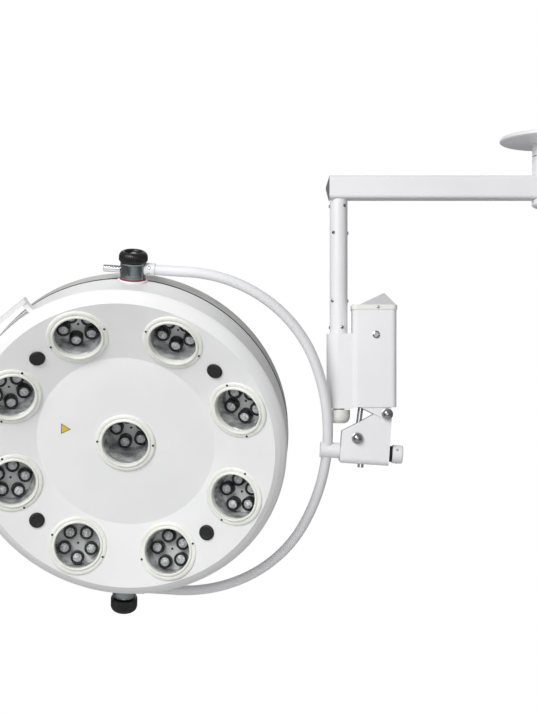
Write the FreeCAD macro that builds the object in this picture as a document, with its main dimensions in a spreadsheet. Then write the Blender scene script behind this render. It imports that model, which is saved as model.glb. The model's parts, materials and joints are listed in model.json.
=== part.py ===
import FreeCAD, Part
import math
import os

import Sketcher

# A ceiling surgical light: a fixed mount, a swinging arm, a balanced box that swivels below it, a yoke
# and a lamp head with nine LED lamps. Millimetres, +Z up. The origin is the centre of the upper face of
# the ceiling plate; the arm runs to -X and the lamp face looks to -Y and a little down.

Vector = FreeCAD.Vector
Rotation = FreeCAD.Rotation
Placement = FreeCAD.Placement

SIZES = {
    # ceiling mount and its post
    "plate_radius": 108, "plate_thick": 9, "post_radius": 37.5, "post_drop": 40, "bolt_circle": 92,
    "bolt_hole": 5.5, "bolt_pocket": 9.5, "spindle_radius": 17, "spindle_bore": 10, "hub_radius": 37.5,
    # running fits, and the walls of the bronze bushes
    "running_fit": 0.05, "hub_bush_wall": 9, "sleeve_bush_wall": 5, "roll_bush_wall": 4,
    # swinging arm, drop tube and swivel shaft
    "arm_depth": 50, "arm_wall": 3, "arm_axis_drop": 110, "arm_reach": 463, "arm_end": 27, "end_cap_rise": 7,
    "drop_radius": 19.5, "sleeve_top": 430, "sleeve_bottom": 594, "sleeve_radius": 26.5,
    "shaft_radius": 13, "shaft_neck": 11, "shaft_bore": 7, "cap_radius": 25.2, "cap_bottom": 626,
    # balancer box, beside the sleeve
    "box_left": 29, "box_right": 125, "box_half": 32, "box_wall": 2.5, "box_corner": 11,
    "box_top": 370, "lid_thick": 8, "lid_lip": 1.5, "hip_rise": 28.5, "hip_ridge": 71,
    "hinge_x": 104.5, "hinge_drop": 606, "cheek_half": 29.5, "cheek_thick": 3, "cheek_edge": 8.5,
    # balance rod and spring, leaning from the spring seat to the rod pin
    "seat_x": 73, "seat_drop": 404, "seat_radius": 22, "seat_low": 8, "seat_pin_radius": 4, "rod_radius": 4,
    "rod_low_radius": 6, "rod_eye_play": 1.6, "spring_coil": 15, "spring_wire": 2.2, "spring_turns": 9,
    "spring_length": 150,
    # tilting block: its own frame has the hinge pin at the origin and is turned with the block
    "block_tilt": 3.7, "block_half": 26, "block_thick": 3, "block_left": 96, "block_right": 10.5,
    "block_bottom": 112.7, "block_belly": 13, "rod_pin_x": 61.2, "rod_pin_drop": 56.9, "pin_radius": 6,
    "nut_radius": 12.5, "shaft_drop": 86.6, "tube_x": 124.5, "bearing_radius": 17.5, "bearing_back": 94,
    "screw_x": 49, "screw_radius": 4.9, "screw_hole": 5,
    # yoke: its own frame has the origin on the roll shaft, in the middle of the yoke tube
    "yoke_tilt": 20.5, "yoke_radius": 11.2, "yoke_wall": 2, "yoke_half": 375, "yoke_lift": 6,
    "yoke_reach": 437, "yoke_wide_arc": 480, "yoke_corner_arc": 305, "roll_radius": 12, "roll_bore": 5,
    "collar_radius": 17, "end_collar_radius": 20.3, "leg_collar_radius": 13.6,
    # head: its own frame has the pivot axis as Z, the lamp face looking to -Y
    "head_turn": -1.1, "head_radius": 350, "disc_radius": 193, "crease_radius": 325.5, "disc_front": 50,
    "crease_front": 98, "bevel_front": 80, "seam_front": -5, "rear_depth": 76, "back_depth": 104,
    "back_flat": 150, "shell_wall": 2.5, "pivot_bore": 9, "pivot_hole": 14,
    "lamp_pitch": 261, "lamp_hole": 53, "ring_radius": 65, "ring_bore": 50, "lamp_depth": 46,
    "centre_depth": 92, "holder_radius": 14.5, "holder_rise": 18, "lens_radius": 11, "led_pitch": 31,
    "plug_pitch": 264.5, "plug_radius": 17, "plug_neck": 8.4, "plug_hole": 9,
    # pivots and their knobs, the stop pin and the grip
    "barrel_radius": 27, "barrel_low": 355, "barrel_high": 390, "lower_barrel_high": 396,
    "knob_radius": 30.5, "knob_height": 22, "lower_knob_height": 34, "knob_dish": 9,
    "stop_pin_radius": 7.5, "pin_reach": 62,
    "grip_length": 108, "grip_width": 22, "grip_thick": 9, "grip_stand": 22, "grip_front": 62,
}
# how far the block turns down from its rest
BLOCK_TRAVEL = -22
LAMP_COUNT = 8
LED_COUNT = 5
LAMP_START = 23.2
# how far each lamp's ring of LEDs is turned in its seat: the centre lamp, then round the head
LED_TURNS = (33, 37, 53, 5, 45, 26, 22, 28, 50)
GRIP_TURN = 133
# cutters that go right through a piece are this long
THROUGH = 200


class Size:
    """A size of the sheet, or one worked out from such sizes: its number and the expression that gives it."""

    def __init__(self, number, text):
        self.number = number
        self.text = text

    def joined(self, other, sign, number):
        return Size(number, f"({self.text} {sign} {as_size(other).text})")

    def __add__(self, other):
        return self.joined(other, "+", self.number + as_size(other).number)

    def __sub__(self, other):
        return self.joined(other, "-", self.number - as_size(other).number)

    def __radd__(self, other):
        return as_size(other) + self

    def __rsub__(self, other):
        return as_size(other) - self

    def __mul__(self, factor):
        return self.joined(factor, "*", self.number * as_size(factor).number)

    def __truediv__(self, factor):
        return self.joined(factor, "/", self.number / as_size(factor).number)

    def __neg__(self):
        return self * -1.0


def as_size(value):
    return value if isinstance(value, Size) else Size(float(value), repr(float(value)))


doc = FreeCAD.newDocument("surgical_light")
sheet = doc.addObject("Spreadsheet::Sheet", "sizes")
for row, (alias, amount) in enumerate(SIZES.items(), start=1):
    sheet.set(f"A{row}", alias)
    sheet.set(f"B{row}", str(amount))
    sheet.setAlias(f"B{row}", alias)
doc.recompute()


def size(alias):
    return Size(float(getattr(sheet, alias)), f"sizes.{alias}")


def amount(alias):
    return float(getattr(sheet, alias))


nodes = {}


def keep(label, item, place=None):
    """Names a sub-part, puts it in its place and lists it for export."""
    item.Label = label
    if place is not None:
        item.Placement = place * item.Placement
    nodes[label] = item
    return item


def stand_for(name, item):
    """A compound of one item, so that the item itself stays where it is and can still be used as a tool."""
    shell = doc.addObject("Part::Compound", name)
    shell.Links = [item]
    return shell


def bind(item, **sizes):
    """Binds the named properties of an object to sizes."""
    for name, value in sizes.items():
        value = as_size(value)
        setattr(item, name, value.number)
        item.setExpression(name, value.text)
    return item


def cylinder(name, radius, length, place=None):
    item = bind(doc.addObject("Part::Cylinder", name), Radius=radius, Height=length)
    item.Placement = place or Placement()
    return item


def cut(name, base, *tools):
    """One base with any number of tools taken out of it."""
    tool = tools[0] if len(tools) == 1 else fuse(name + "_tools", *tools)
    item = doc.addObject("Part::Cut", name)
    item.Base = base
    item.Tool = tool
    return item


def fuse(name, *pieces):
    item = doc.addObject("Part::MultiFuse", name)
    item.Shapes = list(pieces)
    return item


def plane_of(body, role):
    return next(feature for feature in body.Origin.OriginFeatures if feature.Role == role)


def outline_sketch(body, name, role, outline):
    """A closed outline of straight sides whose corners are dimensioned from the sketch's origin."""
    sketch = body.newObject("Sketcher::SketchObject", name)
    sketch.AttachmentSupport = [(plane_of(body, role), "")]
    sketch.MapMode = "FlatFace"
    corners = [(as_size(across), as_size(up)) for across, up in outline]
    points = [Vector(across.number, up.number, 0) for across, up in corners]
    for index, start in enumerate(points):
        sketch.addGeometry(Part.LineSegment(start, points[(index + 1) % len(points)]))
    for index in range(len(points)):
        sketch.addConstraint(Sketcher.Constraint("Coincident", index, 2, (index + 1) % len(points), 1))
    for index, (across, up) in enumerate(corners):
        for kind, axis, value in (("DistanceX", -2, across), ("DistanceY", -1, up)):
            if value.number == 0:
                sketch.addConstraint(Sketcher.Constraint("PointOnObject", index, 1, axis))
                continue
            number = sketch.addConstraint(Sketcher.Constraint(kind, -1, 1, index, 1, value.number))
            sketch.setExpression(f"Constraints[{number}]", value.text)
    return sketch


def turned(name, outline):
    """A body turned about its own Z axis from an outline of (radius, height) corners."""
    body = doc.addObject("PartDesign::Body", name)
    sketch = outline_sketch(body, name + "_outline", "XZ_Plane", outline)
    turn = body.newObject("PartDesign::Revolution", name + "_turn")
    turn.Profile = sketch
    turn.ReferenceAxis = (sketch, ["V_Axis"])
    turn.Angle = 360
    return body


def tube(name, inner, outer, low, high):
    return turned(name, [(inner, low), (outer, low), (outer, high), (inner, high)])


def plate(name, outline, thick, role="XZ_Plane"):
    """A body padded both ways from the middle plane, from an outline of (x, z) or (x, y) corners."""
    body = doc.addObject("PartDesign::Body", name)
    sketch = outline_sketch(body, name + "_outline", role, outline)
    pad = body.newObject("PartDesign::Pad", name + "_pad")
    pad.Profile = sketch
    pad.Midplane = True
    bind(pad, Length=thick)
    return body


def copies(name, master, places):
    """The same piece at several places, each a solid of its own."""
    doc.recompute()
    solids = []
    for place in places:
        solid = master.Shape.copy()
        solid.Placement = place.multiply(solid.Placement)
        solids.append(solid)
    item = doc.addObject("Part::Feature", name)
    item.Shape = Part.makeCompound(solids)
    return item


def at(x=0.0, y=0.0, z=0.0, axis=None, angle=0.0):
    """A placement: moved, then turned about an axis. Lengths may be plain numbers or sizes."""
    turn = Rotation(Vector(*axis), angle) if axis else Rotation()
    return Placement(Vector(as_size(x).number, as_size(y).number, as_size(z).number), turn)


ALONG_X = Rotation(Vector(0, 1, 0), 90)
ALONG_MINUS_Y = Rotation(Vector(1, 0, 0), 90)

# The frames of the bodies that hang on one another.
POST = at()
DROP = at(x=-amount("arm_reach"))
BLOCK = at(x=-amount("arm_reach") + amount("hinge_x"), z=-amount("hinge_drop"), axis=(0, 1, 0),
           angle=amount("block_tilt"))
YOKE = BLOCK * at(x=-amount("tube_x"), z=-amount("shaft_drop"), axis=(1, 0, 0), angle=amount("yoke_tilt"))
HEAD = YOKE * at(x=-amount("yoke_reach"), z=amount("yoke_lift"))
SEAT = Vector(-amount("arm_reach") + amount("seat_x"), 0, -amount("seat_drop"))
FACE = HEAD * at(axis=(0, 0, 1), angle=amount("head_turn")) * Placement(Vector(), ALONG_MINUS_Y)


def screw(name, head_radius, head_height, shank_radius, shank_length):
    """A pan-head screw with a cross slot; its head stands on the plane z = 0."""
    slot = head_height * 0.55
    body = turned(name, [(0, -shank_length), (shank_radius, -shank_length), (shank_radius, 0),
                         (head_radius, 0), (head_radius, head_height * 0.6), (head_radius * 0.62, head_height),
                         (0, head_height)])
    cutter = doc.addObject("Part::Box", name + "_slot")
    bind(cutter, Length=head_radius * 2.2, Width=head_radius * 0.28, Height=slot * 2)
    cutter.Placement = at(x=-head_radius * 1.1, y=-head_radius * 0.14, z=head_height - slot)
    return cut(name + "_slotted", body, cutter)


def set_screw(name, radius, length):
    """A headless screw with a hexagon socket, its outer face on the plane z = 0."""
    socket = doc.addObject("Part::Prism", name + "_socket")
    socket.Polygon = 6
    bind(socket, Circumradius=radius * 0.55, Height=length * 0.5)
    socket.Placement = at(z=-length * 0.5)
    return cut(name + "_cut", cylinder(name, radius, length, at(z=-length)), socket)


def dome_nut(name, radius, bore, depth):
    """A domed nut that stands on z = 0 and is bored from below."""
    rise = radius * 0.62
    hexagon = doc.addObject("Part::Prism", name + "_hexagon")
    hexagon.Polygon = 6
    bind(hexagon, Circumradius=radius, Height=rise * 0.6)
    dome = doc.addObject("Part::Sphere", name + "_dome")
    bind(dome, Radius=radius * 0.86)
    dome.Placement = at(z=rise * 0.35)
    below = cylinder(name + "_below", radius * 2, radius * 2, at(z=-radius * 2))
    return cut(name + "_bored", fuse(name + "_body", hexagon, dome), below, cylinder(name + "_bore", bore, depth))


# --- ceiling mount -------------------------------------------------------------------------------------

def ceiling_mount():
    rim = size("plate_radius")
    thick = size("plate_thick")
    body = turned("mount_turned", [
        (size("spindle_radius"), 0), (rim - 2, 0), (rim, -2), (rim, -(thick - 2)), (rim - 3, -thick),
        (size("post_radius") + 6, -thick - 2), (size("post_radius"), -thick - 7),
        (size("post_radius"), -size("post_drop")), (size("spindle_radius"), -size("post_drop"))])
    holes = []
    for corner in range(4):
        turn = math.radians(90 * corner)
        reach = amount("bolt_circle")
        spot = at(x=reach * math.cos(turn), y=reach * math.sin(turn), z=-30)
        holes.append(cylinder(f"bolt_hole_{corner}", size("bolt_hole"), 60, spot))
        holes.append(cylinder(f"bolt_pocket_{corner}", size("bolt_pocket"), 33 - size("plate_thick"), spot))
    keep("ceiling_plate", cut("ceiling_plate", body, *holes), POST)
    low = size("arm_axis_drop") + size("arm_depth") / 2 + 2
    keep("post_spindle", turned("post_spindle", [
        (size("spindle_bore"), -4), (size("spindle_radius"), -4), (size("spindle_radius"), -low),
        (size("spindle_bore"), -low)]), POST)
    keep("spindle_nut", turned("spindle_nut", [
        (size("spindle_radius"), -low + 1), (26, -low + 1), (28, -low + 4), (28, -low + 11),
        (size("spindle_radius"), -low + 11)]), POST)


# --- swinging arm --------------------------------------------------------------------------------------

def swinging_arm():
    axis = size("arm_axis_drop")
    half = size("arm_depth") / 2
    top = -(size("post_drop") + 1)
    floor = -(axis + half)
    hub = size("hub_radius")
    bush_bore = size("spindle_radius") + size("running_fit")
    bush_rim = size("spindle_radius") + size("hub_bush_wall")
    low_bush, low_step, top_step = floor + 12, floor + 18, top - 14
    keep("arm_hub", turned("arm_hub", [
        (bush_rim, low_bush), (bush_rim, low_step), (hub - 4, low_step), (hub - 4, top_step), (bush_rim, top_step),
        (bush_rim, top), (hub - 2, top), (hub, top - 2), (hub, low_bush)]), POST)
    keep("hub_cover", turned("hub_cover", [
        (0, floor - 17), (hub - 4, floor - 17), (hub + 1, floor - 13), (hub + 1, floor - 0.5),
        (hub - 2, floor - 0.5), (hub - 2, low_bush - 0.2), (hub - 5, low_bush - 0.2), (hub - 5, floor - 12),
        (0, floor - 12)]), POST)
    bushes = doc.addObject("Part::Compound", "hub_bushes")
    bushes.Links = [tube("hub_bush_low", bush_bore, bush_rim, low_bush, low_step),
                    tube("hub_bush_top", bush_bore, bush_rim, top_step, top)]
    keep("hub_bushes", bushes, POST)

    length = size("arm_reach") + size("arm_end") - 6
    outer = rounded_bar("arm_outer", length, size("arm_depth"), 7)
    inner = rounded_bar("arm_inner", length, size("arm_depth") - size("arm_wall") * 2, 4)
    inner.Placement = at(x=-amount("arm_reach") - amount("arm_end") + 3, z=-axis.number)
    outer.Placement = at(x=-amount("arm_reach") - amount("arm_end") + 6, z=-axis.number)
    hub_hole = cylinder("arm_hub_hole", hub, THROUGH, at(z=-240))
    drop_hole = cylinder("arm_drop_hole", size("drop_radius"), 40,
                         at(x=-amount("arm_reach"), z=-axis.number - half.number - 5))
    keep("arm_tube", cut("arm_tube", outer, inner, hub_hole, drop_hole), POST)

    side = amount("arm_depth") / 2 - 1
    start = -amount("arm_reach") - amount("arm_end") + 6
    pyramid = Part.makeLoft([upright_square(start, side),
                             upright_square(start - amount("end_cap_rise"), side * 0.12)], True)
    inside = side - amount("arm_wall") - 1.5
    stub = Part.makeBox(1.6, 2 * inside, 2 * inside, Vector(start - 0.5, -inside, -inside))
    cap = doc.addObject("Part::Feature", "arm_end_cap")
    cap.Shape = pyramid.fuse(stub).removeSplitter()
    keep("arm_end_cap", cap, at(z=-axis.number))

    bottom = -(size("sleeve_top") - 0.6)
    outer_radius = size("drop_radius")
    drop = tube("drop_tube", size("shaft_radius") + 0.02, outer_radius, bottom, -(axis + half) + 30)
    neck, bore, radius = size("shaft_neck"), size("shaft_bore"), size("shaft_radius")
    shoulder, foot, head = size("sleeve_bottom") + 2, size("cap_bottom") - 8, size("sleeve_top") - 90
    keep("swivel_shaft", turned("swivel_shaft", [
        (bore, -foot), (neck, -foot), (neck, -shoulder), (radius, -shoulder), (radius, -head), (bore, -head)]), DROP)
    keep("swivel_nut", tube("swivel_nut", neck, 19, -(shoulder + 12), -(shoulder + 1)), DROP)
    cap_low = size("cap_bottom")
    cap_top = -(size("sleeve_bottom") + 2.5)
    keep("swivel_cap", turned("swivel_cap", [
        (0, -cap_low), (size("cap_radius") - 12, -cap_low), (size("cap_radius") - 6.5, -(cap_low - 2)),
        (size("cap_radius") - 2.5, -(cap_low - 6.5)), (size("cap_radius") - 0.5, -(cap_low - 12)),
        (size("cap_radius"), -(cap_low - 18)), (size("cap_radius"), cap_top), (size("cap_radius") - 2, cap_top),
        (size("cap_radius") - 2, -(cap_low - 16)), (size("cap_radius") - 12, -(cap_low - 5)),
        (0, -(cap_low - 5))]), DROP)

    master = screw("drop_screw", as_size(3.6), as_size(2.2), as_size(2), as_size(3.5))
    spots = []
    rows = [(-150, (-53, 180)), (-209, (-127, -5)), (-358, (-135, -5)), (-416, (-70, -175))]
    for height, turns in rows:
        for turn in turns:
            spots.append(at(z=height) * at(axis=(0, 0, 1), angle=turn + 90)
                         * at(y=-amount("drop_radius"), axis=(1, 0, 0), angle=90))
    screws = copies("drop_tube_screws", master, spots)
    keep("drop_tube", cut("drop_tube_drilled", drop, screws), DROP)
    keep("drop_tube_screws", stand_for("drop_tube_screws_placed", screws), DROP)


def upright_square(x, half):
    """A closed square across the X axis, for a loft."""
    corners = [Vector(x, -half, -half), Vector(x, half, -half), Vector(x, half, half), Vector(x, -half, half)]
    return Part.makePolygon(corners + corners[:1])


def rounded_bar(name, length, side, corner):
    """A square bar along +X with rounded long edges."""
    bar = doc.addObject("Part::Box", name + "_bar")
    bind(bar, Length=length, Width=side, Height=side)
    bar.Placement = at(y=-side.number / 2, z=-side.number / 2)
    doc.recompute()
    long_edges = [(number, corner, corner) for number, edge in enumerate(bar.Shape.Edges, start=1)
                  if abs(edge.tangentAt(edge.FirstParameter).x) > 0.9]
    rounded = doc.addObject("Part::Fillet", name)
    rounded.Base = bar
    rounded.Edges = long_edges
    return rounded


# --- balancer box and swivel sleeve --------------------------------------------------------------------

def rounded_box(name, left, right, half, low, high, corner):
    """An upright box between two x values whose four upright edges are rounded."""
    box = doc.addObject("Part::Box", name + "_box")
    bind(box, Length=right - left, Width=half * 2, Height=high - low)
    box.Placement = at(x=left.number, y=-half.number, z=low.number)
    doc.recompute()
    upright = [(number, corner, corner) for number, edge in enumerate(box.Shape.Edges, start=1)
               if abs(edge.tangentAt(edge.FirstParameter).z) > 0.9]
    rounded = doc.addObject("Part::Fillet", name)
    rounded.Base = box
    rounded.Edges = upright
    return rounded


def balancer():
    """The sheet box beside the sleeve with its hipped lid, the hinge bracket below it and the fasteners."""
    left, right = size("box_left"), size("box_right")
    half, wall = size("box_half"), size("box_wall")
    low, high = -(size("sleeve_bottom") - 3), -size("box_top")
    corner = amount("box_corner")
    shell = cut("box_shell", rounded_box("box_outside", left, right, half, low, high, corner),
                rounded_box("box_inside", left + wall, right - wall, half - wall, low - 4, high + 10, corner - 2))
    sleeve_room = cylinder("box_sleeve_room", size("sleeve_radius") + 0.3, 400, at(z=-700))

    lip = size("lid_lip")
    skirt = rounded_box("lid_skirt", left - lip, right + lip, half + lip, high - size("lid_thick"), high + 2, corner)
    hollow = rounded_box("lid_hollow", left, right, half, high - size("lid_thick") - 5, high, corner)
    lid = cut("lid_base", skirt, hollow)
    ridge = amount("box_left") + amount("hip_ridge")
    top = amount("box_top")
    width = amount("box_half") - 3
    hip = doc.addObject("Part::Feature", "lid_hip")
    start, end = amount("box_left") + 14, amount("box_right") - 1
    ends = []
    for x, y, z in ((start, -width, 0), (end, -width, 0), (end, width, 0), (start, width, 0)):
        ends.append(Vector(x, y, z))
    peak = Vector(ridge, 0, amount("hip_rise"))
    faces = [Part.Face(Part.makePolygon(ends + ends[:1]))]
    for index in range(4):
        corner_points = [ends[index], ends[(index + 1) % 4], peak, ends[index]]
        faces.append(Part.Face(Part.makePolygon(corner_points)))
    hip.Shape = Part.makeSolid(Part.makeShell(faces))
    keep("lid_hip", hip, DROP * at(z=2 - top))

    sleeve_low, sleeve_high = -size("sleeve_bottom"), -size("sleeve_top")
    bore = size("shaft_radius") + size("sleeve_bush_wall")
    ring = tube("sleeve_ring", bore, size("sleeve_radius"), sleeve_low, sleeve_high)
    webs = []
    for side in (-1, 1):
        web = doc.addObject("Part::Box", f"sleeve_web_{side + 1}")
        bind(web, Length=size("box_left") + 8, Width=4, Height=sleeve_high - sleeve_low)
        web.Placement = at(x=2, y=side * (amount("sleeve_radius") - 2) - 2, z=sleeve_low.number)
        webs.append(web)
    shell_room = rounded_box("sleeve_box_room", left, right, half, low - 20, high, corner)
    bore_again = cylinder("sleeve_bore_again", bore, 400, at(z=-700))
    keep("swivel_sleeve", cut("swivel_sleeve", fuse("sleeve_fused", ring, *webs), shell_room, bore_again), DROP)
    bush = tube("sleeve_bush", size("shaft_radius") + size("running_fit"), bore, 0, 22)
    spots = [at(z=sleeve_low.number + 0.5), at(z=sleeve_high.number - 22.5)]
    keep("sleeve_bushes", copies("sleeve_bushes", bush, spots), DROP)

    bracket_top = high - size("lid_thick") - 130
    inner_edge, outer_edge = size("box_left") + 17, size("hinge_x") + size("cheek_edge")
    pin_drop = size("hinge_drop")
    outline = [(inner_edge, bracket_top), (inner_edge, low + 4), (inner_edge, low),
               (size("hinge_x") - 8, -(pin_drop + 10)), (size("hinge_x") + 3, -(pin_drop + 11)),
               (outer_edge, -(pin_drop + 8)), (outer_edge, low + 4), (outer_edge, bracket_top)]
    cheek = plate("hinge_cheek", outline, size("cheek_thick"))
    offset = amount("cheek_half") - amount("cheek_thick") / 2
    pair = copies("hinge_cheek_pair", cheek, [at(y=-offset), at(y=offset)])
    pin_bore = cylinder("cheek_pin_bore", size("pin_radius"), THROUGH,
                        Placement(Vector(amount("hinge_x"), 100, -amount("hinge_drop")), ALONG_MINUS_Y))
    bridge = doc.addObject("Part::Box", "cheek_bridge")
    bind(bridge, Length=outer_edge - inner_edge, Width=size("cheek_half") * 2, Height=size("cheek_thick"))
    bridge.Placement = at(x=inner_edge, y=-amount("cheek_half"), z=low.number + 4)
    rod_room = doc.addObject("Part::Box", "cheek_rod_room")
    bind(rod_room, Length=40, Width=24, Height=30)
    rod_room.Placement = at(x=amount("box_left") + 10, y=-12, z=low.number - 5)
    bracket = cut("hinge_bracket", fuse("hinge_bracket_whole", pair, bridge), pin_bore, rod_room)
    keep("hinge_bracket", bracket, DROP)
    keep("hinge_pin", cylinder("hinge_pin", size("pin_radius"), size("cheek_half") * 2 + 12,
                               Placement(Vector(amount("hinge_x"), amount("cheek_half") + 6,
                                                -amount("hinge_drop")), ALONG_MINUS_Y)), DROP)
    nut = dome_nut("hinge_nut", size("nut_radius"), size("pin_radius"), 6)
    places = [at(x=amount("hinge_x"), z=-amount("hinge_drop")) * at(axis=(0, 0, 1), angle=turn)
              * at(y=-amount("cheek_half"), axis=(1, 0, 0), angle=90) for turn in (0, 180)]
    keep("hinge_nuts", copies("hinge_nuts", nut, places), DROP)

    master = screw("box_screw", as_size(8), as_size(3.5), as_size(4), as_size(2.4))
    small = screw("lid_screw", as_size(3.2), as_size(1.6), as_size(1.8), as_size(1.4))
    front = [at(x=amount("box_left") + 51, y=side * amount("box_half"), z=-433)
             * at(axis=(1, 0, 0), angle=-90 * side) for side in (-1, 1)]
    pegs = [at(x=amount("box_left") + 55, y=side * (amount("box_half") + amount("lid_lip")), z=-top - 3)
            * at(axis=(1, 0, 0), angle=-90 * side) for side in (-1, 1)]
    big_ones = copies("box_big_screws", master, front)
    small_ones = copies("box_small_screws", small, pegs)
    group = doc.addObject("Part::Compound", "box_screws")
    group.Links = [big_ones, small_ones]
    keep("balancer_box", cut("balancer_box", shell, sleeve_room, group), DROP)
    keep("box_lid", cut("box_lid", lid, group), DROP)
    keep("box_screws", stand_for("box_screws_placed", group), DROP)


# --- balance spring, its seat and the rod --------------------------------------------------------------

def down_from_seat(block_turn):
    """The vector from the spring seat down to the rod pin with the block turned by an angle."""
    turned_block = BLOCK * at(axis=(0, 1, 0), angle=block_turn)
    pin = turned_block.multVec(Vector(-amount("rod_pin_x"), 0, -amount("rod_pin_drop")))
    return pin - SEAT


def leaning_frame(down):
    """The frame at the spring seat whose -Z runs along a vector."""
    return Placement(SEAT, Rotation(Vector(0, 1, 0), math.degrees(math.atan2(-down.x, -down.z))))


def balance_spring():
    """The spring leans half-way between the rod's two ends of travel, so that the rod never meets it."""
    at_rest, at_end = down_from_seat(0), down_from_seat(BLOCK_TRAVEL)
    spring_frame = leaning_frame(at_rest.normalize() + at_end.normalize())
    rod_frame = leaning_frame(down_from_seat(0))
    pin_radius, stem = size("seat_pin_radius"), size("rod_radius")
    rim, coil, wire = size("seat_radius"), size("spring_coil"), size("spring_wire")
    top = size("seat_low")

    disc = turned("seat_disc", [
        (0, -top), (rim, -top), (rim, 1 - top / 2), (rim - 3, 3 - top / 2), (0, 3 - top / 2)])
    lugs = []
    for side in (1, -1):
        lug = doc.addObject("Part::Box", f"seat_lug_{side + 1}")
        bind(lug, Length=pin_radius * 4, Width=5, Height=top + 7)
        lug.Placement = at(x=-amount("seat_pin_radius") * 2, y=side * 7.5 - 2.5, z=-top.number)
        lugs.append(lug)
    slot = bind(doc.addObject("Part::Box", "seat_slot"), Length=19, Width=10, Height=40)
    slot.Placement = at(x=-9.5, y=-5, z=-20)
    cross_bore = cylinder("seat_cross_bore", pin_radius, 40, Placement(Vector(0, 20, 0), ALONG_MINUS_Y))
    keep("spring_seat", cut("spring_seat", fuse("seat_whole", disc, *lugs), slot, cross_bore), spring_frame)
    across = Placement(Vector(0, 12, 0), ALONG_MINUS_Y)
    keep("seat_pin", cylinder("seat_pin", pin_radius, 24, across), spring_frame)

    length = amount("spring_length")
    climb = length - 2 * wire.number
    helix = Part.makeHelix(climb / amount("spring_turns"), climb, coil.number)
    ring = Part.Wire(Part.Circle(Vector(coil.number, 0, 0), Vector(0, 1, 0), wire.number).toShape())
    spring = doc.addObject("Part::Feature", "balance_spring")
    spring.Shape = Part.Wire(helix).makePipeShell([ring], True, True)
    keep("balance_spring", spring, spring_frame * at(z=wire.number - top.number - length - 0.3))
    foot = -(top + length)
    keep("spring_base", tube("spring_base", coil - wire, rim, foot - 6, foot - 0.7), spring_frame)

    eye = size("pin_radius") + size("rod_eye_play")
    low = -down_from_seat(0).Length
    upper_eye = tube("rod_upper_eye", pin_radius + size("running_fit"), pin_radius * 2, -4.5, 4.5)
    upper_eye.Placement = Placement(Vector(), ALONG_MINUS_Y)
    stem_low = low + eye.number + 2
    bar = cylinder("rod_stem", stem, -stem_low - pin_radius.number - 1, at(z=stem_low))
    thick_bar = cylinder("rod_thick_stem", size("rod_low_radius"), foot.number - 25 - stem_low, at(z=stem_low))
    lower_eye = tube("rod_eye", eye, eye + 3, -6, 6)
    lower_eye.Placement = Placement(Vector(0, 0, low), ALONG_MINUS_Y)
    keep("balance_rod", fuse("balance_rod", bar, thick_bar, upper_eye, lower_eye), rod_frame)


# --- tilting block -------------------------------------------------------------------------------------

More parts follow.
